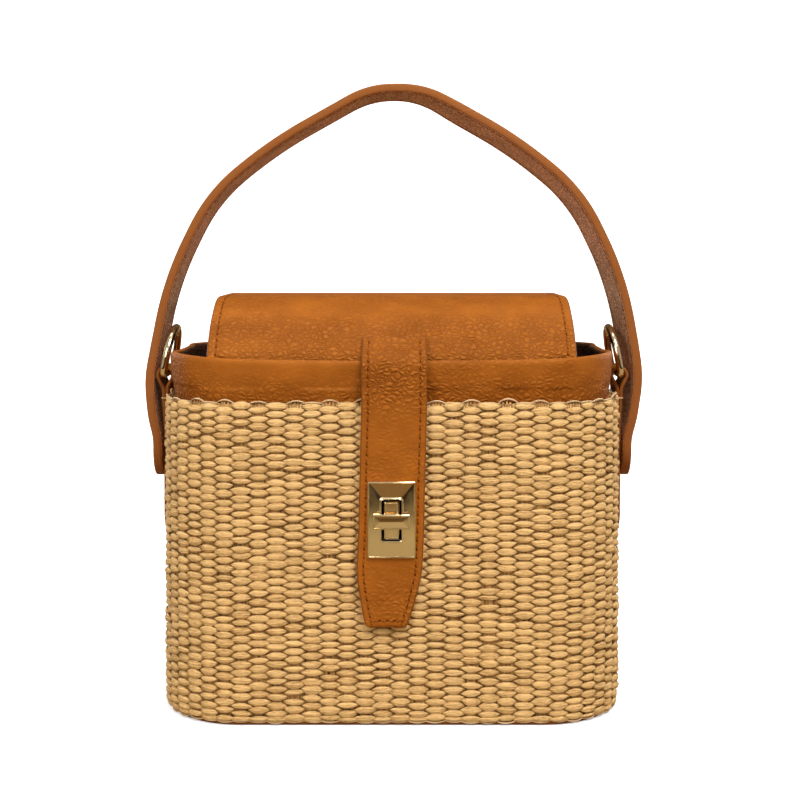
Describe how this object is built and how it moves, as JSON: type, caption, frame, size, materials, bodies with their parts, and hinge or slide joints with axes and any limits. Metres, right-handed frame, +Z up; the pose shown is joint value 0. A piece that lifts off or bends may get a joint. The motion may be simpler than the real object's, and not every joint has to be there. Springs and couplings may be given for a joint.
{
  "type": "raffia handbag",
  "caption": "Small box handbag with woven raffia walls, leather collar, flap, closing strap with a turn lock, side tabs with D-rings and a swinging leather handle.",
  "frame": {"origin": "middle of the base's underside, on the surface that the bag stands on", "axes": "+Z up, the front with the closing strap faces -Y, +X to the right as seen from the front"},
  "size_m": [0.199, 0.108, 0.2474],
  "materials": {
    "raffia": "dry woven straw with a slight sheen",
    "leather": "pebbled tan leather, satin",
    "leather_inside": "smooth pinkish-brown leather, matt",
    "leather_edge": "dark brown painted edge",
    "lining_cloth": "dark woven lining",
    "stiff_board": "plain stiff leather board",
    "gold_metal": "pale gold, polished",
    "steel": "plain steel"
  },
  "bodies": {
    "bag": {"base_panel": "leather_edge", "raffia_wall": "raffia", "inner_wall": "stiff_board", "collar": "leather", "lining": "lining_cloth", "side_tab_right": "leather", "side_tab_left": "leather", "handle_rivet_right": "steel", "handle_rivet_left": "steel", "lock_base": "gold_metal", "lock_washer": "steel"},
    "flap": {"flap": "leather", "closing_strap": "leather", "lock_plate": "gold_metal", "lock_plate_washer": "steel"},
    "turn_bar": {"turn_bar": "gold_metal"},
    "handle": {"handle_strap": "leather", "handle_lining": "leather_inside"},
    "ring_right": {"d_ring_right": "gold_metal"},
    "ring_left": {"d_ring_left": "gold_metal"}
  },
  "joints": [
    {"name": "flap_hinge", "type": "hinge", "parent": "bag", "child": "flap", "pos_m": [0, 0.0459, 0.1403], "axis": [-1, 0, 0], "range_deg": [0, 43]},
    {"name": "lock_turn", "type": "hinge", "parent": "bag", "child": "turn_bar", "pos_m": [0, -0.0556, 0.079], "axis": [0, 1, 0], "range_deg": [0, 90]},
    {"name": "handle_swing", "type": "hinge", "parent": "bag", "child": "handle", "pos_m": [0, 0, 0.098], "axis": [1, 0, 0], "range_deg": [-120, 120]},
    {"name": "ring_right_swing", "type": "hinge", "parent": "bag", "child": "ring_right", "pos_m": [0.092, 0, 0.1293], "axis": [0, 1, 0], "range_deg": [-13, 7]},
    {"name": "ring_left_swing", "type": "hinge", "parent": "bag", "child": "ring_left", "pos_m": [-0.092, 0, 0.1293], "axis": [0, -1, 0], "range_deg": [-13, 7]}
  ]
}
